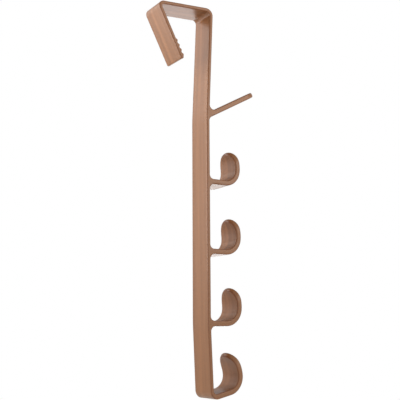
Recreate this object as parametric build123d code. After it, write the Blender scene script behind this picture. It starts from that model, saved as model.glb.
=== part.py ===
from build123d import *
import os
from math import cos, degrees, radians, sin, tan

# Over-door hook strip, moulded in one piece of plastic.
# A ribbon of one width runs from a toothed spring tab, over the door's top edge and down its face.
# A straight peg and a row of curled hooks grow from its front, and its lower end curls into the last hook.
# Millimetres, +Z up, X across the ribbon, hooks towards -Y, door and clip towards +Y.
# The origin is the middle of the seat, the underside of the top bar that rests on the door's top edge.

# Ribbon
width = 22.0
strip_thickness = 2.8
blade_thickness = 4.0
edge_bevel = 0.6

# Runs of the strip, along its centreline
upper_run = 88.1
peg_to_hook = 51.8
hook_pitch = 53.9
hook_count = 3
last_hook_to_bottom = 54.1

# The strip is a little bowed: its end runs lean out of plumb by these angles, eased by a large radius
upper_lean = 2.6
lower_lean = 2.5
bow_radius = 200.0

# Clip: the top bar falls towards the tab and the tab leans in, so that both spring open over the door
door_gap = 45.0
bar_droop = 5.0
tab_lean = 27.4
tab_length = 46.8
tab_corner_radius = 1.2
top_bend_radius = 3.1
tab_bend_radius = 1.7

# Teeth across the tab's inner face, each a ramp towards its end and a steeper back
tooth_count = 4
tooth_pitch = 4.0
tooth_height = 0.95
tooth_ramp = 1.6
tooth_back = 1.4

# Straight peg, measured from the strip's centreline
peg_length = 55.1
peg_rise = 29.5

# Hooks: a straight arm, a bowl and a straighter tongue, with the radii of their centreline
arm_length = 16.0
bowl_radius = 11.8
bowl_turn = 85.3
tongue_radius = 24.1
tongue_turn = 39.9
root_radius_above = 3.4
root_radius_below = 4.1

# Bottom hook: the strip bends into an arm that rises a little and carries the same curl
bottom_rise = 12.5
bottom_arm_length = 16.7
bottom_inner_radius = 2.5
bottom_outer_radius = 6.0

# Directions in the side view, in degrees from straight ahead towards straight up
plumb = -90
tab_way = 90 + tab_lean
bar_way = bar_droop
upper_way = plumb - upper_lean
lower_way = plumb + lower_lean

# The side view looks along +X, with its own x straight ahead towards the hooks and its own y up
side_view = Plane(origin=(0, 0, 0), x_dir=(0, -1, 0), z_dir=(-1, 0, 0))

# Edges whose faces differ by less than this many degrees are smooth seams
smooth_angle = 15


def unit(way):
    """Unit vector of a direction in the side view."""
    return Vector(cos(radians(way)), sin(radians(way)))


def mitre(corner, way_in, half_in, way_out, half_out):
    """Where the left faces of two runs meet; a negative half thickness gives the right faces."""
    turn = sin(radians(way_out - way_in))
    return corner + (unit(way_out) * half_in - unit(way_in) * half_out) / turn


def rounded(face, corner, radius):
    """The face with its corner nearest to that point rounded."""
    return fillet(face.vertices().sort_by_distance(corner)[0], radius)


def sharp_edges(solid):
    """Edges where two faces meet at an angle, without the seams of smooth runs."""
    normals = {}
    for face in solid.faces():
        for edge in face.edges():
            normals.setdefault(edge, []).append(face.normal_at(edge @ 0.5))
    return [edge for edge, (one, other) in normals.items() if one.get_angle(other) > smooth_angle]


# Half thicknesses, the bevel that fits them, and what each blade has to spare for its end to be cut round
half_strip = strip_thickness / 2
half_blade = blade_thickness / 2
bevel = min(edge_bevel, half_strip / 2, half_blade / 2)
trim = half_blade

# Corners of the strip's centreline
top_inset = half_strip / tan(radians(90 - bar_droop - upper_lean) / 2)
tab_inset = half_strip / tan(radians(90 - tab_lean + bar_droop) / 2)
bar_length = top_inset + door_gap + tab_inset
top_corner = unit(bar_way) * (top_inset + door_gap / 2) + unit(bar_way + 90) * half_strip
tab_corner = top_corner - unit(bar_way) * bar_length
tab_end = tab_corner - unit(tab_way) * tab_length
peg_root = top_corner + unit(upper_way) * upper_run
hook_roots = [peg_root + unit(plumb) * (peg_to_hook + i * hook_pitch) for i in range(hook_count)]
bottom_corner = hook_roots[-1] + unit(lower_way) * last_hook_to_bottom
bottom_arm_end = bottom_corner + unit(bottom_rise) * bottom_arm_length


def strip_face():
    """Side view of the strip, from the tab's end to the end of the bottom hook's arm."""
    corners = [tab_corner, top_corner, peg_root, hook_roots[-1], bottom_corner]
    ways = [tab_way, bar_way, upper_way, plumb, lower_way, bottom_rise]
    halves = [half_strip] * 5 + [half_blade]
    door_side = []
    room_side = []
    for i, corner in enumerate(corners):
        door_side.append(mitre(corner, ways[i], -halves[i], ways[i + 1], -halves[i + 1]))
        room_side.append(mitre(corner, ways[i], halves[i], ways[i + 1], halves[i + 1]))
    start = unit(tab_way + 90) * half_strip
    end = unit(bottom_rise + 90) * half_blade
    outline = [tab_end - start, *door_side, bottom_arm_end - end]
    outline += [bottom_arm_end + end, *room_side[::-1], tab_end + start]
    face = make_face(Polyline(*outline, close=True))
    bends = [
        (door_side[0], tab_bend_radius),
        (room_side[0], tab_bend_radius + strip_thickness),
        (door_side[1], top_bend_radius),
        (room_side[1], top_bend_radius + strip_thickness),
        (door_side[2], bow_radius),
        (door_side[3], bow_radius),
        (door_side[4], bottom_outer_radius),
        (room_side[4], bottom_inner_radius),
    ]
    for corner, radius in bends:
        face = rounded(face, corner, radius)
    return face


def hook_path(root, way, length):
    """Centreline of a hook: arm, bowl, and tongue with the length to trim."""
    arm = Line(root, root + unit(way) * length)
    bowl = JernArc(arm @ 1, arm % 1, bowl_radius, bowl_turn)
    tongue = JernArc(bowl @ 1, bowl % 1, tongue_radius, tongue_turn + degrees(trim / tongue_radius))
    return Wire([arm, bowl, tongue])


def end_cutter(path):
    """What trims a blade with that centreline to a half-round end, as wide as the ribbon."""
    reach = width / 2
    length = path.length - trim
    tip = path.position_at(length, position_mode=PositionMode.LENGTH)
    shoulder = path.position_at(length - reach, position_mode=PositionMode.LENGTH)
    ahead = (tip - shoulder).normalized()
    centre = side_view.from_local_coords(tip - ahead * reach)
    forward = side_view.from_local_coords(ahead)
    plane = Plane(origin=centre, x_dir=(1, 0, 0), z_dir=Vector(1, 0, 0).cross(forward))
    block = Pos(0, reach) * Rectangle(4 * reach, 2 * reach)
    return extrude(plane * (block - Circle(reach)), amount=reach / 2, both=True)


def tab_tooth(number):
    """One tooth across the tab's inner face, rooted in mid-thickness and counted from the tab's end."""
    up = unit(tab_way)
    out = unit(tab_way - 90)
    root = out * half_strip
    foot = tab_end + root + up * (tab_corner_radius + number * tooth_pitch)
    tip = foot + up * tooth_ramp + out * tooth_height
    back = foot + up * (tooth_ramp + tooth_back)
    tooth = make_face(Polyline(foot - root, foot, tip, back, back - root, close=True))
    return extrude(side_view * tooth, amount=width / 2, both=True)


# Side view of the whole piece, with rounded roots
peg_path = Wire([Line(peg_root, peg_root + unit(peg_rise) * (peg_length + trim))])
hook_paths = [hook_path(root, 0, arm_length) for root in hook_roots]
bottom_path = hook_path((bottom_corner + bottom_arm_end) / 2, bottom_rise, bottom_arm_length / 2)
profile = strip_face()
for path in [peg_path, *hook_paths, bottom_path]:
    profile += trace(path, blade_thickness)
roots = [(peg_root, peg_rise, upper_way, plumb)]
roots += [(root, 0, plumb, plumb) for root in hook_roots[:-1]]
roots += [(hook_roots[-1], 0, plumb, lower_way)]
for root, way, way_above, way_below in roots:
    above = mitre(root, way_above, half_strip, way, half_blade)
    below = mitre(root, way_below, half_strip, way, -half_blade)
    profile = rounded(profile, above, root_radius_above)
    profile = rounded(profile, below, root_radius_below)

# Full width, half-round blade ends, rounded tab corners, bevelled edges all round, then the teeth
body = extrude(side_view * profile, amount=width / 2, both=True)
for path in [peg_path, *hook_paths, bottom_path]:
    body -= end_cutter(path)
for side in (-width / 2, width / 2):
    corner = side_view.from_local_coords(tab_end) + Vector(side, 0, 0)
    body = fillet(body.edges().sort_by_distance(corner)[0], tab_corner_radius)
body = body.solid().chamfer(bevel, None, sharp_edges(body))
over_door_hook = body + [tab_tooth(number) for number in range(tooth_count)]

os.makedirs("parts", exist_ok=True)
export_step(over_door_hook, "parts/over_door_hook.step")
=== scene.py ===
# %% [markdown]
# An over-door hook strip is one shot of plastic: a ribbon that goes over the top edge of a door, hangs down
# its face, and carries a straight peg and a column of curled hooks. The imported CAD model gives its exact
# place and size. It is loaded first, and its box is kept, because nothing made here may grow past it.

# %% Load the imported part
from math import ceil, cos, degrees, pi, radians, sin, tan

import bpy
from mathutils import Matrix, Vector


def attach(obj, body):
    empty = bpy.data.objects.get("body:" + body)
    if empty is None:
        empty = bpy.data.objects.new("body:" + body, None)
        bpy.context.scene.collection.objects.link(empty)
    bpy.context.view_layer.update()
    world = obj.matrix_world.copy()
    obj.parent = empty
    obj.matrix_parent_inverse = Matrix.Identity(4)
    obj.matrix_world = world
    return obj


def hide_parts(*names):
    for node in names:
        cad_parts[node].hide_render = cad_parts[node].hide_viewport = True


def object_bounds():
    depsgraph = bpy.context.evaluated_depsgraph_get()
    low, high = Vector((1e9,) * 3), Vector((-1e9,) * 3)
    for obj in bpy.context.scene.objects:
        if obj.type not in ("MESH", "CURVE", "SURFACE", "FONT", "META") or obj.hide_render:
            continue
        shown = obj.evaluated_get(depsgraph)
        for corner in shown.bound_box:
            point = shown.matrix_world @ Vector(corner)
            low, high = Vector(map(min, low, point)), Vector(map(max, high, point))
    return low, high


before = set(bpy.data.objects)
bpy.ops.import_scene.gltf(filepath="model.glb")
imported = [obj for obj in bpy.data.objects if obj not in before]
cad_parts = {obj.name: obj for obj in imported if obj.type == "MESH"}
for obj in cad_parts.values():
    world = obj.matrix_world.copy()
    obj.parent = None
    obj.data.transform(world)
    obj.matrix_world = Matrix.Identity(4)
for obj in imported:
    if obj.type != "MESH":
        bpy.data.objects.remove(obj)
cad_low, cad_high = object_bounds()
mm = 0.001
print("packed nodes:", len(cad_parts))
print("CAD box in mm:", [round(v / mm, 1) for v in cad_high - cad_low])

# %% [markdown]
# The photograph looks at the strip's back from the left and from a little below. A camera can be placed by
# eye, but the outline of a thin ribbon shows every degree, so this one was fitted to it. The fit gives the
# direction of view, a focal length in pixels, and the pixel and depth of one known point: the sharp corner
# of the ribbon's centreline above the door's edge. The camera's place follows from those.

# %% Camera's directions and place
image_size = 400
focal_pixels = 749.0
view_yaw = radians(33.003)
view_pitch = radians(10.315)
view_roll = radians(-0.273)
known_point = Vector((0, -23.885, 3.495)) * mm
known_pixel = (204.306, 15.204)
known_depth = 609.32 * mm

level_ahead = Vector((cos(view_yaw), -sin(view_yaw), 0))
level_right = Vector((-sin(view_yaw), -cos(view_yaw), 0))
ahead = level_ahead * cos(view_pitch) + Vector((0, 0, sin(view_pitch)))
level_up = Vector((0, 0, cos(view_pitch))) - level_ahead * sin(view_pitch)
right = level_right * cos(view_roll) + level_up * sin(view_roll)
up = level_up * cos(view_roll) - level_right * sin(view_roll)
across_view = (known_pixel[0] - image_size / 2) * known_depth / focal_pixels
down_view = (known_pixel[1] - image_size / 2) * known_depth / focal_pixels
eye = known_point - right * across_view + up * down_view - ahead * known_depth
print("camera at mm:", [round(v / mm, 1) for v in eye])

# %% Camera
lens = bpy.data.cameras.new("camera")
lens.sensor_width = 36
lens.lens = lens.sensor_width * focal_pixels / image_size
lens.clip_start = 10 * mm
camera = bpy.data.objects.new("camera", lens)
bpy.context.collection.objects.link(camera)
camera.matrix_world = Matrix((right, up, -ahead)).transposed().to_4x4()
camera.location = eye
bpy.context.scene.camera = camera
print("lens mm:", round(lens.lens, 1))

# %% [markdown]
# The plastic is polystyrene or ABS, coloured through in bronze brown with a little mica, then moulded
# against polished steel. To the eye that is a warm brown under a clear gloss. One flat colour with a shine
# would come close, but the real surface says more: faint streaks where the melt ran and a fine glitter. Two
# marks more are painted light: one paler line along the ribbon is a painted highlight, and the darker, redder
# edges are painted shade. Each of these is a few nodes. A node tree is easiest to read as a list of what was
# added, so one function adds a node. It sets the options first, because they decide which sockets the node
# has, and then fills or links its inputs.


# %% Bronze plastic, and one node at a time
def add(tree, kind, inputs=None, **options):
    """Adds a node; inputs are keyed by socket identifier and hold a value or another node's output."""
    made = tree.nodes.new(kind)
    for name, value in options.items():
        setattr(made, name, value)
    for key, value in (inputs or {}).items():
        socket = next(s for s in made.inputs if s.identifier == key)
        if isinstance(value, bpy.types.NodeSocket):
            tree.links.new(value, socket)
        else:
            socket.default_value = value
    return made


styrene_ior = 1.57
mica_sheen = 0.05

bronze = bpy.data.materials.new("moulded_bronze_plastic")
bronze.use_nodes = True
bronze_tree = bronze.node_tree
plastic = bronze_tree.nodes["Principled BSDF"]
plastic.inputs["IOR"].default_value = styrene_ior
plastic.inputs["Metallic"].default_value = mica_sheen
print("plastic with an IOR of", styrene_ior)

# %% [markdown]
# The streaks run along the ribbon and round its bends, as the melt did. Noise in space would cut straight
# through the bends. The mesh therefore carries two measures of its own, made further down: how far across
# the ribbon a point lies and how far along it. Noise that is read by those two, and drawn out along the
# second, follows every bend.


# %% Streaks along the ribbon
def linear(hex_colour):
    """An sRGB hex colour as linear red, green, blue and alpha."""
    channels = [int(hex_colour[i:i + 2], 16) / 255 for i in (1, 3, 5)]
    return [c / 12.92 if c <= 0.04045 else ((c + 0.055) / 1.055) ** 2.4 for c in channels] + [1]


streak_width = 3.5 * mm
streak_length = 90 * mm
streak_detail = 3.0
streak_roughness = 0.6
streak_stops = ((0.3, "#905F3A"), (0.7, "#A16E47"))

across_ribbon = add(bronze_tree, "ShaderNodeAttribute", attribute_name="across").outputs["Fac"]
along_ribbon = add(bronze_tree, "ShaderNodeAttribute", attribute_name="along").outputs["Fac"]
on_ribbon = add(bronze_tree, "ShaderNodeCombineXYZ", {
    "X": across_ribbon, "Y": along_ribbon}).outputs["Vector"]
drawn_out = add(bronze_tree, "ShaderNodeMapping", {
    "Vector": on_ribbon, "Scale": (1 / streak_width, 1 / streak_length, 1)}).outputs["Vector"]
streaks = add(bronze_tree, "ShaderNodeTexNoise", {
    "Vector": drawn_out, "Scale": 1.0, "Detail": streak_detail, "Roughness": streak_roughness}).outputs["Fac"]
body_colour = add(bronze_tree, "ShaderNodeValToRGB", {"Fac": streaks})
for stop, (position, colour) in zip(body_colour.color_ramp.elements, streak_stops):
    stop.position = position
    stop.color = linear(colour)
print("streaks", streak_width / mm, "mm wide and", streak_length / mm, "mm long")

# %% [markdown]
# Mica is a few hundredths of a millimetre across. That is too fine to show in the picture, so the flakes are
# drawn about ten times as coarse, each a little lighter or darker than the next. The paler line is a painted
# highlight: a soft band at one place across the ribbon. Both only tint the body colour.

# %% Mica flakes and the painted highlight band
flake_size = 0.4 * mm
flake_dark = 0.94
flake_light = 1.06
# Painted highlight: a paler band at one place across the ribbon.
highlight_band_place = 2.0 * mm
highlight_band_width = 3.5 * mm
highlight_band_tint = 1.16

here = add(bronze_tree, "ShaderNodeTexCoord").outputs["Object"]
flakes = add(bronze_tree, "ShaderNodeTexVoronoi", {"Vector": here, "Scale": 1 / flake_size}).outputs["Color"]
flake_tint = add(bronze_tree, "ShaderNodeMapRange", {
    "Value": flakes, "To Min": flake_dark, "To Max": flake_light}).outputs["Result"]
# The painted highlight is brightest on its line and fades over its width.
beside_highlight_band = add(bronze_tree, "ShaderNodeMath", {
    "Value": across_ribbon, "Value_001": highlight_band_place}, operation="SUBTRACT").outputs[0]
to_highlight_band = add(bronze_tree, "ShaderNodeMath", {"Value": beside_highlight_band}, operation="ABSOLUTE").outputs[0]
painted_highlight_tint = add(bronze_tree, "ShaderNodeMapRange", {
    "Value": to_highlight_band, "From Max": highlight_band_width, "To Min": highlight_band_tint, "To Max": 1.0},
    interpolation_type="SMOOTHSTEP").outputs["Result"]
tint = add(bronze_tree, "ShaderNodeMath", {
    "Value": flake_tint, "Value_001": painted_highlight_tint}, operation="MULTIPLY").outputs[0]
tinted = add(bronze_tree, "ShaderNodeVectorMath", {
    "Vector": body_colour.outputs["Color"], "Scale": tint}, operation="SCALE").outputs["Vector"]
print("flakes", flake_size / mm, "mm; flow line", 2 * highlight_band_width / mm, "mm from edge to edge")

# %% [markdown]
# The rounded edges lie more in shade than the flats, so they look darker and redder. That is painted shade:
# the mesh stores how near the middle of a rounded edge each point is, and the colour leans to a redder brown
# there. The polish varies a little with the streaks, and a very shallow ripple breaks up reflections, as on
# any moulded skin.

# %% Painted edge shade, polish and ripple
edge_shade_colour = "#8A5636"
polish_fine = 0.28
polish_coarse = 0.38
ripple_size = 6 * mm
ripple_detail = 2.0
ripple_depth = 0.01 * mm

# Painted shade: the rounded edges lean to a darker, redder brown.
edge_shade_mark = add(bronze_tree, "ShaderNodeAttribute", attribute_name="rim").outputs["Fac"]
edge_shaded = add(bronze_tree, "ShaderNodeMix", {
    "Factor_Float": edge_shade_mark, "A_Color": tinted, "B_Color": linear(edge_shade_colour)}, data_type="RGBA")
edge_shaded_colour = next(s for s in edge_shaded.outputs if s.identifier == "Result_Color")
polish = add(bronze_tree, "ShaderNodeMapRange", {
    "Value": streaks, "To Min": polish_fine, "To Max": polish_coarse}).outputs["Result"]
ripple = add(bronze_tree, "ShaderNodeTexNoise", {
    "Vector": here, "Scale": 1 / ripple_size, "Detail": ripple_detail}).outputs["Fac"]
rippled = add(bronze_tree, "ShaderNodeBump", {
    "Height": ripple, "Distance": ripple_depth, "Strength": 1.0}).outputs["Normal"]
bronze_tree.links.new(edge_shaded_colour, plastic.inputs["Base Color"])
bronze_tree.links.new(polish, plastic.inputs["Roughness"])
bronze_tree.links.new(rippled, plastic.inputs["Normal"])
print("bronze plastic has", len(bronze_tree.nodes), "nodes")

# %% [markdown]
# Every cross-section of the piece is the same, so the whole form is a drawing of its side, as the mould
# maker would draw it: forward to the hooks and up, in millimetres. The CAD mesh could be shown as it is, but
# its edges are cut by a flat bevel and its bends are facets. A fresh mesh from the same sizes has true bends
# and soft edges all round.

# %% Sizes of the side view
width = 22.0
half_strip = 1.4
half_blade = 2.0

door_gap, bar_droop = 45.0, 5.0
tab_length, tab_lean = 46.8, 27.4
top_bend, tab_bend, bow_bend = 3.1, 1.7, 200.0
upper_run, upper_lean = 88.1, 2.6
peg_to_hook, hook_pitch, hook_count = 51.8, 53.9, 3
lower_run, lower_lean = 54.1, 2.5

peg_length, peg_rise = 55.1, 29.5
arm_length = 16.0
bowl_radius, bowl_turn = 11.8, 85.3
tongue_radius, tongue_turn = 24.1, 39.9
root_above, root_below = 3.4, 4.1
bottom_rise, bottom_arm_length = 12.5, 16.7
bottom_inner, bottom_outer = 2.5, 6.0
print("ribbon", width, "mm wide, strip", 2 * half_strip, "mm and hooks", 2 * half_blade, "mm thick")


# %% Corners of the strip's centreline
def unit(way):
    """Unit vector of a direction, in degrees from straight ahead towards straight up."""
    return Vector((cos(radians(way)), sin(radians(way))))


down = -90
upper_way = down - upper_lean
lower_way = down + lower_lean
tab_way = 90 + tab_lean
top_inset = half_strip / tan(radians(90 - bar_droop - upper_lean) / 2)
tab_inset = half_strip / tan(radians(90 - tab_lean + bar_droop) / 2)
top_corner = unit(bar_droop) * (top_inset + door_gap / 2) + unit(bar_droop + 90) * half_strip
tab_corner = top_corner - unit(bar_droop) * (top_inset + door_gap + tab_inset)
tab_end = tab_corner - unit(tab_way) * tab_length
peg_root = top_corner + unit(upper_way) * upper_run
hook_roots = [peg_root + unit(down) * (peg_to_hook + i * hook_pitch) for i in range(hook_count)]
bottom_corner = hook_roots[-1] + unit(lower_way) * lower_run
print("strip from", [round(v, 1) for v in top_corner], "to", [round(v, 1) for v in bottom_corner], "mm")

# %% [markdown]
# A hook's curl could be many points on two arcs. It is kept as sharp corners instead, each with the radius
# of its bend: one for the bowl and one for the tongue, on the underside going out and on the upper face
# coming back. Two parallel faces of a bend share its centre, so the inner radius is smaller by one
# thickness. A seam of a twentieth of a millimetre follows each bend, so that no two points of the finished
# outline fall together.


# %% A hook's curl
def mitre(corner, way_in, half_in, way_out, half_out):
    """Where the left faces of two runs meet; negative half thicknesses give their right faces."""
    return corner + (unit(way_out) * half_in - unit(way_in) * half_out) / sin(radians(way_out - way_in))


def curl(root, way, arm):
    """A hook's corners and bends, from bowl to tip and back, and its tip with the direction there."""
    ways = [way, way + bowl_turn, way + bowl_turn + tongue_turn]
    bowl_reach = bowl_radius * tan(radians(bowl_turn) / 2)
    tongue_reach = tongue_radius * tan(radians(tongue_turn) / 2)
    bowl = root + unit(ways[0]) * (arm + bowl_reach)
    tongue = bowl + unit(ways[1]) * (bowl_reach + tongue_reach + seam)
    tip = tongue + unit(ways[2]) * (tongue_reach + seam)
    side = unit(ways[2] + 90) * half_blade
    out = [(mitre(bowl, ways[0], -half_blade, ways[1], -half_blade), bowl_radius + half_blade),
           (mitre(tongue, ways[1], -half_blade, ways[2], -half_blade), tongue_outside),
           (tip - side, 0)]
    home = [(tip + side, 0),
            (mitre(tongue, ways[1], half_blade, ways[2], half_blade), tongue_inside),
            (mitre(bowl, ways[0], half_blade, ways[1], half_blade), bowl_radius - half_blade)]
    return out + home, (tip, unit(ways[2]))


seam = 0.05
tongue_outside = tongue_radius + half_blade
tongue_inside = tongue_radius - half_blade
sample_corners, (sample_tip, sample_heading) = curl(Vector((0, 0)), 0, arm_length)
print("a hook has", len(sample_corners), "corners, and its tip lies", [round(v, 1) for v in sample_tip],
      "mm from its root, facing", [round(v, 2) for v in sample_heading])

# %% [markdown]
# The outline runs once round the piece: up the tab's inner face, along the bar, down the strip's back, out
# along the bottom hook and back, then up the strip's front, out and back along each hook and the peg. The
# tips are listed beside it, for the half-round ends that come later.

# %% Back of the strip, and the bottom hook
end_bend = 0.8 * half_strip
tab_side = unit(tab_way + 90) * half_strip
outline = [(tab_end - tab_side, end_bend),
           (mitre(tab_corner, tab_way, -half_strip, bar_droop, -half_strip), tab_bend),
           (mitre(top_corner, bar_droop, -half_strip, upper_way, -half_strip), top_bend),
           (mitre(peg_root, upper_way, -half_strip, down, -half_strip), bow_bend),
           (mitre(hook_roots[-1], down, -half_strip, lower_way, -half_strip), bow_bend),
           (mitre(bottom_corner, lower_way, -half_strip, bottom_rise, -half_blade), bottom_outer)]
bottom_curl, bottom_tip = curl(bottom_corner, bottom_rise, bottom_arm_length)
outline += bottom_curl
outline.append((mitre(bottom_corner, lower_way, half_strip, bottom_rise, half_blade), bottom_inner))
tips = [bottom_tip]
print("back and bottom hook:", len(outline), "corners")


# %% Front of the strip, with its hooks and peg
def rooted(blade, root, way, way_above, way_below):
    """A blade's corners between the two rounded ones where it grows from the strip's front."""
    below = mitre(root, way_below, half_strip, way, -half_blade)
    above = mitre(root, way_above, half_strip, way, half_blade)
    return [(below, root_below), *blade, (above, root_above)]


for root in reversed(hook_roots):
    way_below = lower_way if root is hook_roots[-1] else down
    hook_curl, hook_tip = curl(root, 0, arm_length)
    outline += rooted(hook_curl, root, 0, down, way_below)
    tips.append(hook_tip)
peg_tip = peg_root + unit(peg_rise) * peg_length
peg_side = unit(peg_rise + 90) * half_blade
peg_shoulder = peg_tip - unit(peg_rise) * width / 2
peg = [(peg_shoulder - peg_side, 0), (peg_tip - peg_side, 0),
       (peg_tip + peg_side, 0), (peg_shoulder + peg_side, 0)]
outline += rooted(peg, peg_root, peg_rise, upper_way, down)
tips.append((peg_tip, unit(peg_rise)))
outline += [(mitre(top_corner, bar_droop, half_strip, upper_way, half_strip), top_bend + 2 * half_strip),
            (mitre(tab_corner, tab_way, half_strip, bar_droop, half_strip), tab_bend + 2 * half_strip),
            (tab_end + tab_side, end_bend)]
print(len(outline), "corners and", len(tips), "round ends")

# %% [markdown]
# The sketch is a mesh of bare edges, the simplest thing that can carry numbers from the script into a node
# tree. Each corner stores its bend radius and how many points that bend needs, with finer steps on the
# tongues, whose round ends need them. The peg is straight, so the last stretch of its two faces is cut into
# short steps instead. The five tips are loose points that store their direction.

# %% How finely each corner is drawn
arc_step = 0.5
tongue_step = 0.2
corner_step = 6.0
peg_cuts = 54

corners = [point for point, bend in outline]
bends = [bend for point, bend in outline]
peg_cut_starts = (peg_shoulder - peg_side, peg_tip + peg_side)
cuts = [peg_cuts if corner in peg_cut_starts else 0 for corner in corners]
steps = []
for i, corner in enumerate(corners):
    following = corners[(i + 1) % len(corners)]
    corner_turn = (corner - corners[i - 1]).angle(following - corner)
    step = tongue_step if bends[i] in (tongue_outside, tongue_inside) else arc_step
    by_length = ceil(bends[i] * corner_turn / step)
    by_angle = ceil(degrees(corner_turn) / corner_step)
    steps.append(max(by_length, by_angle) if bends[i] else 1)
print("bends get", sum(steps), "points, straight ends", sum(cuts))

# %% Sketch mesh
points = [(x * mm, y * mm, 0) for x, y in corners + [tip for tip, heading in tips]]
edges = [(i, (i + 1) % len(corners)) for i in range(len(corners))]
sketch = bpy.data.meshes.new("side_view")
sketch.from_pydata(points, edges, [])
no_tips = [0] * len(tips)
for name, kind, values in (
        ("bend", "FLOAT", [bend * mm for bend in bends] + no_tips),
        ("steps", "INT", steps + no_tips),
        ("cuts", "INT", cuts + no_tips),
        ("tip", "BOOLEAN", [False] * len(corners) + [True] * len(tips))):
    sketch.attributes.new(name, kind, "POINT").data.foreach_set("value", values)
headings = sketch.attributes.new("heading", "FLOAT_VECTOR", "POINT")
for i, (tip, heading) in enumerate(tips):
    headings.data[len(corners) + i].vector = (heading.x, heading.y, 0)
print("sketch has", len(points), "points and", len(edges), "edges")

# %% [markdown]
# A node tree turns the drawing into the solid: it rounds the corners, sweeps the outline across the width,
# closes both sides, and then moves every point once. Extrude and Bevel could do much of it by hand, but a
# bevel breaks where bends, roots and round ends meet. Its sizes are named inputs, so the same tree would
# make a wider or thicker strip.

# %% Tree and its inputs
strip_tree = bpy.data.node_groups.new("moulded_strip", "GeometryNodeTree")
strip_inputs = (
    ("Sketch", "Geometry"), ("Width", "Float"), ("Edge Radius", "Float"), ("Tip Radius", "Float"),
    ("Half Blade", "Float"), ("Columns", "Int"), ("Tooth Count", "Int"), ("Tooth Length", "Float"),
    ("Tooth Pitch", "Float"), ("Tooth Height", "Float"), ("Tooth Ramp", "Float"), ("Tooth Back", "Float"),
    ("Tooth Rounding", "Float"), ("Tooth Root", "Float"), ("First Tooth", "Vector"), ("Tooth Way", "Float"),
    ("Plastic", "Material"))
for name, kind in strip_inputs:
    strip_tree.interface.new_socket(name, in_out="INPUT", socket_type="NodeSocket" + kind)
strip_tree.interface.new_socket("Solid", in_out="OUTPUT", socket_type="NodeSocketGeometry")
given = add(strip_tree, "NodeGroupInput").outputs
print("tree has", len(strip_inputs), "inputs")

# %% [markdown]
# First the outline. The tips are parted from the drawing, the drawing becomes a curve, and Fillet Curve
# rounds each corner by its own radius. Every point then stores three things that it will need once it has
# moved: where it was drawn, which way is out, and how far along the outline it lies.

# %% Rounded outline
tip_mark = add(strip_tree, "GeometryNodeInputNamedAttribute", {"Name": "tip"}, data_type="BOOLEAN")
parted = add(strip_tree, "GeometryNodeSeparateGeometry", {
    "Geometry": given["Sketch"], "Selection": tip_mark.outputs["Attribute"]}, domain="POINT")
wire = add(strip_tree, "GeometryNodeMeshToCurve", {"Mesh": parted.outputs["Inverted"]}).outputs["Curve"]
cut_count = add(strip_tree, "GeometryNodeInputNamedAttribute", {"Name": "cuts"}, data_type="INT")
divided = add(strip_tree, "GeometryNodeSubdivideCurve", {
    "Curve": wire, "Cuts": cut_count.outputs["Attribute"]}).outputs["Curve"]
step_count = add(strip_tree, "GeometryNodeInputNamedAttribute", {"Name": "steps"}, data_type="INT")
bend_radius = add(strip_tree, "GeometryNodeInputNamedAttribute", {"Name": "bend"}, data_type="FLOAT")
bent = add(strip_tree, "GeometryNodeFilletCurve", {
    "Curve": divided, "Count": step_count.outputs["Attribute"], "Radius": bend_radius.outputs["Attribute"]},
    mode="POLY").outputs["Curve"]
position = add(strip_tree, "GeometryNodeInputPosition").outputs["Position"]
tangent = add(strip_tree, "GeometryNodeInputTangent").outputs["Tangent"]
sideways = add(strip_tree, "ShaderNodeVectorMath", {
    "Vector": tangent, "Vector_001": (0, 0, 1)}, operation="CROSS_PRODUCT").outputs["Vector"]
run = add(strip_tree, "GeometryNodeSplineParameter").outputs["Length"]
rounded_outline = bent
for name, value, kind in (
        ("drawn", position, "FLOAT_VECTOR"), ("outward", sideways, "FLOAT_VECTOR"), ("along", run, "FLOAT")):
    rounded_outline = add(strip_tree, "GeometryNodeStoreNamedAttribute", {
        "Geometry": rounded_outline, "Name": name, "Value": value},
        data_type=kind, domain="POINT").outputs["Geometry"]
print("rounded outline:", len(strip_tree.nodes), "nodes so far")

# %% [markdown]
# The outline is swept across the width along a straight line. Evenly spaced columns would spend most points
# on flat ground, so they are spread by a cosine, which crowds them towards both edges where the surface will
# turn. They are not spread out yet: each point only stores how far across it belongs.

# %% Flank
half_width = add(strip_tree, "ShaderNodeMath", {
    "Value": given["Width"], "Value_001": 0.5}, operation="MULTIPLY").outputs[0]
line = add(strip_tree, "GeometryNodeCurvePrimitiveLine", {"End": (1, 0, 0)}).outputs["Curve"]
columns = add(strip_tree, "GeometryNodeResampleCurve", {
    "Curve": line, "Count": given["Columns"]}, mode="COUNT").outputs["Curve"]
progress = add(strip_tree, "GeometryNodeSplineParameter").outputs["Factor"]
angle = add(strip_tree, "ShaderNodeMath", {
    "Value": progress, "Value_001": pi}, operation="MULTIPLY").outputs[0]
swing = add(strip_tree, "ShaderNodeMath", {"Value": angle}, operation="COSINE").outputs[0]
spread = add(strip_tree, "ShaderNodeMath", {
    "Value": swing, "Value_001": half_width}, operation="MULTIPLY").outputs[0]
spread_columns = add(strip_tree, "GeometryNodeStoreNamedAttribute", {
    "Geometry": columns, "Name": "across", "Value": spread},
    data_type="FLOAT", domain="POINT").outputs["Geometry"]
flank = add(strip_tree, "GeometryNodeCurveToMesh", {
    "Curve": rounded_outline, "Profile Curve": spread_columns}).outputs["Mesh"]
print("flank:", len(strip_tree.nodes), "nodes so far")

# %% [markdown]
# Each side is the outline, filled. Filling makes new points without the stored values, so every one of them
# borrows the values of the outline point that it lies on. One side is turned over, so that both face
# outwards.

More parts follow.
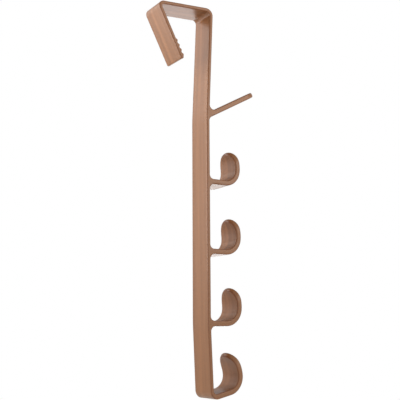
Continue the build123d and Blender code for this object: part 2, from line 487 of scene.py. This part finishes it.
# %% Filled outline
filled = add(strip_tree, "GeometryNodeFillCurve", {
    "Curve": rounded_outline}, mode="TRIANGLES").outputs["Mesh"]
outline_wire = add(strip_tree, "GeometryNodeCurveToMesh", {"Curve": rounded_outline}).outputs["Mesh"]
nearest = add(strip_tree, "GeometryNodeSampleNearest", {
    "Geometry": outline_wire, "Sample Position": position}, domain="POINT").outputs["Index"]
outward = add(strip_tree, "GeometryNodeInputNamedAttribute", {
    "Name": "outward"}, data_type="FLOAT_VECTOR").outputs["Attribute"]
along = add(strip_tree, "GeometryNodeInputNamedAttribute", {
    "Name": "along"}, data_type="FLOAT").outputs["Attribute"]
borrowed_outward = add(strip_tree, "GeometryNodeSampleIndex", {
    "Geometry": outline_wire, "Value": outward, "Index": nearest},
    data_type="FLOAT_VECTOR", domain="POINT").outputs["Value"]
borrowed_along = add(strip_tree, "GeometryNodeSampleIndex", {
    "Geometry": outline_wire, "Value": along, "Index": nearest},
    data_type="FLOAT", domain="POINT").outputs["Value"]
side = filled
for name, value, kind in (
        ("drawn", position, "FLOAT_VECTOR"), ("outward", borrowed_outward, "FLOAT_VECTOR"),
        ("along", borrowed_along, "FLOAT")):
    side = add(strip_tree, "GeometryNodeStoreNamedAttribute", {
        "Geometry": side, "Name": name, "Value": value}, data_type=kind, domain="POINT").outputs["Geometry"]
print("filled outline:", len(strip_tree.nodes), "nodes so far")

# %% Both sides, and the closed shell
turned_side = add(strip_tree, "GeometryNodeFlipFaces", {"Mesh": side}).outputs["Mesh"]
other_half = add(strip_tree, "ShaderNodeMath", {
    "Value": half_width, "Value_001": -1}, operation="MULTIPLY").outputs[0]
shell = add(strip_tree, "GeometryNodeJoinGeometry")
strip_tree.links.new(flank, shell.inputs["Geometry"])
for face, place in ((side, half_width), (turned_side, other_half)):
    spread_side = add(strip_tree, "GeometryNodeStoreNamedAttribute", {
        "Geometry": face, "Name": "across", "Value": place}, data_type="FLOAT", domain="POINT")
    strip_tree.links.new(spread_side.outputs["Geometry"], shell.inputs["Geometry"])
print("closed shell:", len(strip_tree.nodes), "nodes so far")

# %% [markdown]
# Peg and hooks end in a half circle as wide as the ribbon. A cutter could trim them, but a trimmed edge has
# ragged points that no soft edge can follow. Here the width itself shrinks: each point finds the nearest
# tip, measures how far it lies past the centre of that half circle, and its place across is scaled to the
# circle there.

# %% Nearest tip
drawn = add(strip_tree, "GeometryNodeInputNamedAttribute", {
    "Name": "drawn"}, data_type="FLOAT_VECTOR").outputs["Attribute"]
tip_direction = add(strip_tree, "GeometryNodeInputNamedAttribute", {
    "Name": "heading"}, data_type="FLOAT_VECTOR").outputs["Attribute"]
tip_points = parted.outputs["Selection"]
tip_index = add(strip_tree, "GeometryNodeSampleNearest", {
    "Geometry": tip_points, "Sample Position": drawn}, domain="POINT").outputs["Index"]
tip_place = add(strip_tree, "GeometryNodeSampleIndex", {
    "Geometry": tip_points, "Value": position, "Index": tip_index},
    data_type="FLOAT_VECTOR", domain="POINT").outputs["Value"]
tip_heading = add(strip_tree, "GeometryNodeSampleIndex", {
    "Geometry": tip_points, "Value": tip_direction, "Index": tip_index},
    data_type="FLOAT_VECTOR", domain="POINT").outputs["Value"]
from_tip = add(strip_tree, "ShaderNodeVectorMath", {
    "Vector": drawn, "Vector_001": tip_place}, operation="SUBTRACT").outputs["Vector"]
gap = add(strip_tree, "ShaderNodeVectorMath", {"Vector": from_tip}, operation="LENGTH").outputs["Value"]
beyond = add(strip_tree, "ShaderNodeVectorMath", {
    "Vector": from_tip, "Vector_001": tip_heading}, operation="DOT_PRODUCT").outputs["Value"]
print("nearest tip:", len(strip_tree.nodes), "nodes so far")

# %% Round ends
tip_zone = 1.3

zone = add(strip_tree, "ShaderNodeMath", {
    "Value": half_width, "Value_001": tip_zone}, operation="MULTIPLY").outputs[0]
near = add(strip_tree, "ShaderNodeMath", {"Value": gap, "Value_001": zone}, operation="LESS_THAN").outputs[0]
past = add(strip_tree, "ShaderNodeMath", {
    "Value": half_width, "Value_001": beyond}, operation="ADD").outputs[0]
positive = add(strip_tree, "ShaderNodeMath", {
    "Value": past, "Value_001": 0.0}, operation="MAXIMUM").outputs[0]
limited = add(strip_tree, "ShaderNodeMath", {
    "Value": positive, "Value_001": half_width}, operation="MINIMUM").outputs[0]
from_centre = add(strip_tree, "ShaderNodeMath", {
    "Value": limited, "Value_001": near}, operation="MULTIPLY").outputs[0]
share = add(strip_tree, "ShaderNodeMath", {
    "Value": from_centre, "Value_001": half_width}, operation="DIVIDE").outputs[0]
share_squared = add(strip_tree, "ShaderNodeMath", {
    "Value": share, "Value_001": share}, operation="MULTIPLY").outputs[0]
rest = add(strip_tree, "ShaderNodeMath", {
    "Value": 1.0, "Value_001": share_squared}, operation="SUBTRACT").outputs[0]
narrowing = add(strip_tree, "ShaderNodeMath", {"Value": rest}, operation="SQRT").outputs[0]
across = add(strip_tree, "GeometryNodeInputNamedAttribute", {
    "Name": "across"}, data_type="FLOAT").outputs["Attribute"]
narrowed = add(strip_tree, "ShaderNodeMath", {
    "Value": across, "Value_001": narrowing}, operation="MULTIPLY").outputs[0]
print("round ends:", len(strip_tree.nodes), "nodes so far")

# %% [markdown]
# A polished mould leaves every edge soft. Within one radius of the rim, the surface sinks along a quarter
# circle. The radius grows towards the tips, which look rounder in the photograph. Most points sink against
# their outward direction. Those on a tip's flat end face sink towards its mid-thickness, so that both
# rounded faces meet there.

# %% How far each point sinks
in_plan = add(strip_tree, "ShaderNodeCombineXYZ", {"X": from_centre, "Y": narrowed}).outputs["Vector"]
reach = add(strip_tree, "ShaderNodeVectorMath", {"Vector": in_plan}, operation="LENGTH").outputs["Value"]
to_rim = add(strip_tree, "ShaderNodeMath", {
    "Value": half_width, "Value_001": reach}, operation="SUBTRACT").outputs[0]
softer = add(strip_tree, "ShaderNodeMath", {
    "Value": given["Tip Radius"], "Value_001": given["Edge Radius"]}, operation="SUBTRACT").outputs[0]
soft = add(strip_tree, "ShaderNodeMath", {
    "Value": softer, "Value_001": share_squared, "Value_002": given["Edge Radius"]},
    operation="MULTIPLY_ADD").outputs[0]
within = add(strip_tree, "ShaderNodeMath", {
    "Value": soft, "Value_001": to_rim}, operation="SUBTRACT").outputs[0]
overhang = add(strip_tree, "ShaderNodeMath", {
    "Value": within, "Value_001": 0.0}, operation="MAXIMUM").outputs[0]
overhang_squared = add(strip_tree, "ShaderNodeMath", {
    "Value": overhang, "Value_001": overhang}, operation="MULTIPLY").outputs[0]
soft_squared = add(strip_tree, "ShaderNodeMath", {
    "Value": soft, "Value_001": soft}, operation="MULTIPLY").outputs[0]
height_squared = add(strip_tree, "ShaderNodeMath", {
    "Value": soft_squared, "Value_001": overhang_squared}, operation="SUBTRACT").outputs[0]
height_squared_positive = add(strip_tree, "ShaderNodeMath", {
    "Value": height_squared, "Value_001": 0.0}, operation="MAXIMUM").outputs[0]
soft_height = add(strip_tree, "ShaderNodeMath", {
    "Value": height_squared_positive}, operation="SQRT").outputs[0]
sink = add(strip_tree, "ShaderNodeMath", {
    "Value": soft, "Value_001": soft_height}, operation="SUBTRACT").outputs[0]
print("depth of the soft edges:", len(strip_tree.nodes), "nodes so far")

# %% Soft edges
touching = 0.02 * mm

on_end_face = add(strip_tree, "ShaderNodeMath", {
    "Value": from_centre, "Value_001": half_width, "Value_002": touching}, operation="COMPARE").outputs[0]
from_middle = add(strip_tree, "ShaderNodeVectorMath", {
    "Vector": from_tip, "Vector_001": given["Half Blade"]}, operation="DIVIDE").outputs["Vector"]
sink_way = add(strip_tree, "GeometryNodeSwitch", {
    "Switch": on_end_face, "False": outward, "True": from_middle}, input_type="VECTOR").outputs["Output"]
sunk = add(strip_tree, "ShaderNodeVectorMath", {
    "Vector": sink_way, "Scale": sink}, operation="SCALE").outputs["Vector"]
sunk_place = add(strip_tree, "ShaderNodeVectorMath", {
    "Vector": drawn, "Vector_001": sunk}, operation="SUBTRACT").outputs["Vector"]
sunk_parts = add(strip_tree, "ShaderNodeSeparateXYZ", {"Vector": sunk_place}).outputs
new_place = add(strip_tree, "ShaderNodeCombineXYZ", {
    "X": sunk_parts["X"], "Y": sunk_parts["Y"], "Z": narrowed}).outputs["Vector"]
print("soft edges:", len(strip_tree.nodes), "nodes so far")

# %% [markdown]
# The painted edge shade is strongest half-way round a rounded edge and gone at both of its ends. If s is the
# share of the turn, s times what is left of it has just that course, and its highest value is a quarter.
# Four times that is stored with each point. Then every point moves to its place, and points that fall
# together are welded.

# %% Edge mark, and every point in place
quarter_to_whole = 4.0
weld_distance = 0.003 * mm

turned_share = add(strip_tree, "ShaderNodeMath", {
    "Value": overhang_squared, "Value_001": soft_squared}, operation="DIVIDE").outputs[0]
unturned_share = add(strip_tree, "ShaderNodeMath", {
    "Value": 1.0, "Value_001": turned_share}, operation="SUBTRACT").outputs[0]
half_turned = add(strip_tree, "ShaderNodeMath", {
    "Value": turned_share, "Value_001": unturned_share}, operation="MULTIPLY").outputs[0]
edge_shade_share = add(strip_tree, "ShaderNodeMath", {
    "Value": half_turned, "Value_001": quarter_to_whole}, operation="MULTIPLY").outputs[0]
# The stored rim share tells the material where to paint the edge shade.
marked = add(strip_tree, "GeometryNodeStoreNamedAttribute", {
    "Geometry": shell.outputs["Geometry"], "Name": "rim", "Value": edge_shade_share},
    data_type="FLOAT", domain="POINT").outputs["Geometry"]
moulded = add(strip_tree, "GeometryNodeSetPosition", {
    "Geometry": marked, "Position": new_place}).outputs["Geometry"]
welded = add(strip_tree, "GeometryNodeMergeByDistance", {
    "Geometry": moulded, "Distance": weld_distance}).outputs["Geometry"]
print("moulded ribbon:", len(strip_tree.nodes), "nodes so far")

# %% [markdown]
# The tab grips the door with a row of saw teeth across its inner face. They repeat, so one tooth is made and
# set out along the tab by its pitch. Its section is a kite: a long ramp, a steeper back, and a root in the
# middle of the tab. It stops short of the ribbon's soft edges, so that it does not stick out over them.

# %% Section of a tooth
tooth_arc = 4

proud = add(strip_tree, "ShaderNodeMath", {
    "Value": given["Tooth Height"], "Value_001": -1}, operation="MULTIPLY").outputs[0]
tooth_foot = add(strip_tree, "ShaderNodeMath", {
    "Value": given["Tooth Ramp"], "Value_001": given["Tooth Back"]}, operation="ADD").outputs[0]
ramp_top = add(strip_tree, "ShaderNodeCombineXYZ", {"X": given["Tooth Ramp"], "Y": proud}).outputs["Vector"]
back_foot = add(strip_tree, "ShaderNodeCombineXYZ", {"X": tooth_foot}).outputs["Vector"]
root_point = add(strip_tree, "ShaderNodeCombineXYZ", {
    "X": given["Tooth Ramp"], "Y": given["Tooth Root"]}).outputs["Vector"]
kite = add(strip_tree, "GeometryNodeCurvePrimitiveQuadrilateral", {
    "Point 1": (0, 0, 0), "Point 2": ramp_top, "Point 3": back_foot, "Point 4": root_point},
    mode="POINTS").outputs["Curve"]
tooth_section = add(strip_tree, "GeometryNodeFilletCurve", {
    "Curve": kite, "Count": tooth_arc, "Radius": given["Tooth Rounding"]}, mode="POLY").outputs["Curve"]
print("section of a tooth:", len(strip_tree.nodes), "nodes so far")

# %% One tooth
bar_half = add(strip_tree, "ShaderNodeMath", {
    "Value": given["Tooth Length"], "Value_001": 0.5}, operation="MULTIPLY").outputs[0]
bar_other_half = add(strip_tree, "ShaderNodeMath", {
    "Value": bar_half, "Value_001": -1}, operation="MULTIPLY").outputs[0]
bar_start = add(strip_tree, "ShaderNodeCombineXYZ", {"Z": bar_other_half}).outputs["Vector"]
bar_stop = add(strip_tree, "ShaderNodeCombineXYZ", {"Z": bar_half}).outputs["Vector"]
bar = add(strip_tree, "GeometryNodeCurvePrimitiveLine", {
    "Start": bar_start, "End": bar_stop}).outputs["Curve"]
tooth = add(strip_tree, "GeometryNodeCurveToMesh", {
    "Curve": bar, "Profile Curve": tooth_section, "Fill Caps": True}).outputs["Mesh"]
print("one tooth:", len(strip_tree.nodes), "nodes so far")

# %% Row of teeth
tooth_turn = add(strip_tree, "ShaderNodeCombineXYZ", {"Z": given["Tooth Way"]}).outputs["Vector"]
pitch_step = add(strip_tree, "ShaderNodeCombineXYZ", {"X": given["Tooth Pitch"]}).outputs["Vector"]
along_tab = add(strip_tree, "ShaderNodeVectorRotate", {
    "Vector": pitch_step, "Rotation": tooth_turn}, rotation_type="EULER_XYZ").outputs["Vector"]
stations = add(strip_tree, "GeometryNodeMeshLine", {
    "Count": given["Tooth Count"], "Start Location": given["First Tooth"], "Offset": along_tab},
    mode="OFFSET").outputs["Mesh"]
teeth = add(strip_tree, "GeometryNodeInstanceOnPoints", {
    "Points": stations, "Instance": tooth, "Rotation": tooth_turn}).outputs["Instances"]
print("row of teeth:", len(strip_tree.nodes), "nodes so far")

# %% [markdown]
# Teeth and ribbon are one shot of plastic, so they are fused into one closed skin. The drawing is then stood
# up in the part's frame: forward is -Y, and across is X. That mirrors it, so its faces are turned over.
# Shading is smooth, apart from the creases where the teeth meet the tab. The tree ends in Realize Instances
# and Set Material, because an export keeps only real geometry.

# %% Fused, stood up and shaded
whole = add(strip_tree, "GeometryNodeMeshBoolean", operation="UNION", solver="MANIFOLD")
for piece in (welded, teeth):
    strip_tree.links.new(piece, whole.inputs["Mesh 2"])
side_parts = add(strip_tree, "ShaderNodeSeparateXYZ", {"Vector": position}).outputs
backward = add(strip_tree, "ShaderNodeMath", {
    "Value": side_parts["X"], "Value_001": -1}, operation="MULTIPLY").outputs[0]
in_frame = add(strip_tree, "ShaderNodeCombineXYZ", {
    "X": side_parts["Z"], "Y": backward, "Z": side_parts["Y"]}).outputs["Vector"]
stood = add(strip_tree, "GeometryNodeSetPosition", {
    "Geometry": whole.outputs["Mesh"], "Position": in_frame}).outputs["Geometry"]
outside_out = add(strip_tree, "GeometryNodeFlipFaces", {"Mesh": stood}).outputs["Mesh"]
smooth = add(strip_tree, "GeometryNodeSetShadeSmooth", {
    "Geometry": outside_out, "Shade Smooth": True}, domain="FACE").outputs["Geometry"]
creased = add(strip_tree, "GeometryNodeSetShadeSmooth", {
    "Geometry": smooth, "Selection": whole.outputs["Intersecting Edges"], "Shade Smooth": False},
    domain="EDGE").outputs["Geometry"]
real = add(strip_tree, "GeometryNodeRealizeInstances", {"Geometry": creased}).outputs["Geometry"]
painted = add(strip_tree, "GeometryNodeSetMaterial", {
    "Geometry": real, "Material": given["Plastic"]}).outputs["Geometry"]
add(strip_tree, "NodeGroupOutput", {strip_tree.interface.items_tree["Solid"].identifier: painted})
print("whole tree:", len(strip_tree.nodes), "nodes")

# %% [markdown]
# A modifier runs the tree on the sketch. Its inputs are set by socket identifier before anything looks at
# the result. A second modifier, Weighted Normal, lets the large flat faces decide how the light turns at
# their rims, so the flats stay flat and only the soft edges catch a highlight. The result is kept as a plain
# mesh, and the sketch and what the mesh carried only for the tree are thrown away.

# %% Sizes for the tree
edge_radius = 0.9
tip_radius = 1.7
column_count = 29
tooth_count, tooth_pitch, first_tooth = 4, 4.0, 1.2
tooth_height, tooth_ramp, tooth_back, tooth_rounding = 0.95, 1.6, 1.4, 0.25

tooth_base = tab_end + unit(tab_way - 90) * half_strip + unit(tab_way) * first_tooth
sizes = {
    "Width": width * mm, "Edge Radius": edge_radius * mm, "Tip Radius": tip_radius * mm,
    "Half Blade": half_blade * mm, "Columns": column_count, "Tooth Count": tooth_count,
    "Tooth Length": (width - edge_radius) * mm, "Tooth Pitch": tooth_pitch * mm,
    "Tooth Height": tooth_height * mm, "Tooth Ramp": tooth_ramp * mm, "Tooth Back": tooth_back * mm,
    "Tooth Rounding": tooth_rounding * mm, "Tooth Root": half_strip * mm,
    "First Tooth": (tooth_base.x * mm, tooth_base.y * mm, 0), "Tooth Way": radians(tab_way),
    "Plastic": bronze}
print("edges rounded by", edge_radius, "mm, tips by", tip_radius, "mm;", tooth_count, "teeth")

# %% Hook strip as a plain mesh
maker = bpy.data.objects.new("side_view", sketch)
bpy.context.collection.objects.link(maker)
moulding = maker.modifiers.new("moulded_strip", "NODES")
moulding.node_group = strip_tree
for item in strip_tree.interface.items_tree:
    if item.in_out == "INPUT" and item.name in sizes:
        moulding[item.identifier] = sizes[item.name]
weighting = maker.modifiers.new("flat_faces_first", "WEIGHTED_NORMAL")
weighting.keep_sharp = True
seen = bpy.context.evaluated_depsgraph_get()
strip_mesh = bpy.data.meshes.new_from_object(maker.evaluated_get(seen), depsgraph=seen)
bpy.data.objects.remove(maker)
for name in ("bend", "steps", "cuts", "tip", "heading", "drawn", "outward"):
    strip_mesh.attributes.remove(strip_mesh.attributes[name])
strip = bpy.data.objects.new("hook_strip", strip_mesh)
bpy.context.collection.objects.link(strip)
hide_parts("over_door_hook")
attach(strip, "root")
print("hook strip:", len(strip_mesh.polygons), "faces")

# %% [markdown]
# The photograph is a product shot on pure white. The strip hangs, so the floor lies a little below it, just
# out of the picture, and throws pale light up at the undersides. A floor that is lit like the strip looks
# grey beside the white, and more light on it would fall on the strip too. So the picture alone sees it
# lifted a little, straight or in a reflection, and its shadows stay.

# %% Floor mesh
floor_drop = 90 * mm
floor_low_x, floor_high_x = -0.6, 1.0
floor_low_y, floor_high_y = -0.4, 1.3

floor_level = cad_low.z - floor_drop
floor_corners = [(floor_low_x, floor_low_y, floor_level), (floor_high_x, floor_low_y, floor_level),
                 (floor_high_x, floor_high_y, floor_level), (floor_low_x, floor_high_y, floor_level)]
floor_mesh = bpy.data.meshes.new("floor")
floor_mesh.from_pydata(floor_corners, [], [(0, 1, 2, 3)])
floor = bpy.data.objects.new("floor", floor_mesh)
bpy.context.collection.objects.link(floor)
print("floor at", round(floor_level / mm, 1), "mm")


# %% Floor finish
def shown(tree):
    """1 on rays that the picture shows, straight or by way of gloss or glass; 0 on rays of light alone."""
    rays = add(tree, "ShaderNodeLightPath").outputs
    straight_or_gloss = add(tree, "ShaderNodeMath", {
        "Value": rays["Is Camera Ray"], "Value_001": rays["Is Glossy Ray"]}, operation="MAXIMUM").outputs[0]
    return add(tree, "ShaderNodeMath", {
        "Value": straight_or_gloss, "Value_001": rays["Is Transmission Ray"]}, operation="MAXIMUM").outputs[0]


floor_colour = "#E6E4E0"
floor_roughness = 0.9
floor_lift = 0.3

pale = bpy.data.materials.new("pale_matte_floor")
pale.use_nodes = True
pale_tree = pale.node_tree
matte = pale_tree.nodes["Principled BSDF"]
matte.inputs["Base Color"].default_value = linear(floor_colour)
matte.inputs["Roughness"].default_value = floor_roughness
matte.inputs["Emission Color"].default_value = linear(floor_colour)
lift = add(pale_tree, "ShaderNodeMath", {
    "Value": shown(pale_tree), "Value_001": floor_lift}, operation="MULTIPLY").outputs[0]
pale_tree.links.new(lift, matte.inputs["Emission Strength"])
floor_mesh.materials.append(pale)
print("floor lifted by", floor_lift, "where the picture shows it")

# %% [markdown]
# A world that is white all over would light the piece flat. This one is white only to the camera. The light
# that it gives comes from low walls round the set: full at the horizon and gone overhead, which leaves the
# insides of the hooks darker. Gloss sees those walls too, and they fade to a dimmer ceiling and a dimmer
# ground.

# %% Light from the walls
wall_light = 1.12
ceiling_light = 0.0

studio = bpy.data.worlds.new("studio")
studio.use_nodes = True
bpy.context.scene.world = studio
studio_tree = studio.node_tree
studio_tree.nodes.clear()
direction = add(studio_tree, "ShaderNodeTexCoord").outputs["Generated"]
ray_height = add(studio_tree, "ShaderNodeSeparateXYZ", {"Vector": direction}).outputs["Z"]
light_level = add(studio_tree, "ShaderNodeMapRange", {
    "Value": ray_height, "To Min": wall_light, "To Max": ceiling_light}).outputs["Result"]
soft_light = add(studio_tree, "ShaderNodeBackground", {"Color": (1, 1, 1, 1), "Strength": light_level})
print("walls give", wall_light, "at the horizon and", ceiling_light, "overhead")

# %% What gloss and the camera see
wall_gloss = 0.75
ceiling_gloss = 0.45
wall_top, ceiling_start = 0.15, 0.45
ground_gloss = 0.7
ground_start, wall_foot = -0.3, -0.05

above = add(studio_tree, "ShaderNodeMapRange", {
    "Value": ray_height, "From Min": wall_top, "From Max": ceiling_start,
    "To Min": wall_gloss, "To Max": ceiling_gloss}).outputs["Result"]
below = add(studio_tree, "ShaderNodeMapRange", {
    "Value": ray_height, "From Min": ground_start, "From Max": wall_foot,
    "To Min": ground_gloss, "To Max": 1.0}).outputs["Result"]
gloss_level = add(studio_tree, "ShaderNodeMath", {
    "Value": above, "Value_001": below}, operation="MULTIPLY").outputs[0]
to_camera = add(studio_tree, "ShaderNodeLightPath").outputs["Is Camera Ray"]
shown_level = add(studio_tree, "ShaderNodeMath", {
    "Value": to_camera, "Value_001": gloss_level}, operation="MAXIMUM").outputs[0]
backdrop = add(studio_tree, "ShaderNodeBackground", {"Color": (1, 1, 1, 1), "Strength": shown_level})
surroundings = add(studio_tree, "ShaderNodeMixShader", {
    "Fac": shown(studio_tree), "Shader": soft_light.outputs[0], "Shader_001": backdrop.outputs[0]})
add(studio_tree, "ShaderNodeOutputWorld", {"Surface": surroundings.outputs[0]})
print("world has", len(studio_tree.nodes), "nodes")

# %% [markdown]
# Four soft lamps shape the form. The main softbox stands on the door's side, level with the upper strip and
# so near that its light fades down the strip. A higher one behind it adds gloss at the top. A fill on the
# camera's right lights the narrow sides of strip, peg and hooks. The last lies at floor level, beyond the
# strip, and faces up, where the undersides of bar and hooks mirror it. An area lamp's power is its brightness
# times pi times its area, so each row gives a place, a point to face and a side length, in metres, and then
# the brightness, where 1 is as bright as white.

# %% Lamps
lamps = (
    ("softbox", (0.19, 0.35, -0.03), (0, 0, -0.03), 0.3, 3.6),
    ("high_softbox", (0.5, 0.33, 0.35), (0, 0, -0.05), 0.45, 1.15),
    ("fill", (-0.7, -0.45, 0.15), (0, 0, 0), 0.5, 1.6),
    ("low_softbox", (0.85, -0.58, -0.38), (0.85, -0.58, 0), 0.8, 2.8))
for name, lamp_place, aim, side_length, brightness in lamps:
    lamp_data = bpy.data.lights.new(name, "AREA")
    lamp_data.size = side_length
    lamp_data.energy = brightness * pi * side_length ** 2
    lamp = bpy.data.objects.new(name, lamp_data)
    bpy.context.collection.objects.link(lamp)
    lamp.location = lamp_place
    lamp.rotation_euler = (Vector(aim) - lamp.location).to_track_quat("-Z", "Y").to_euler()
    lamp.visible_camera = False
    print(name, round(lamp_data.energy, 2), "W")
bpy.context.scene.view_settings.view_transform = "Standard"
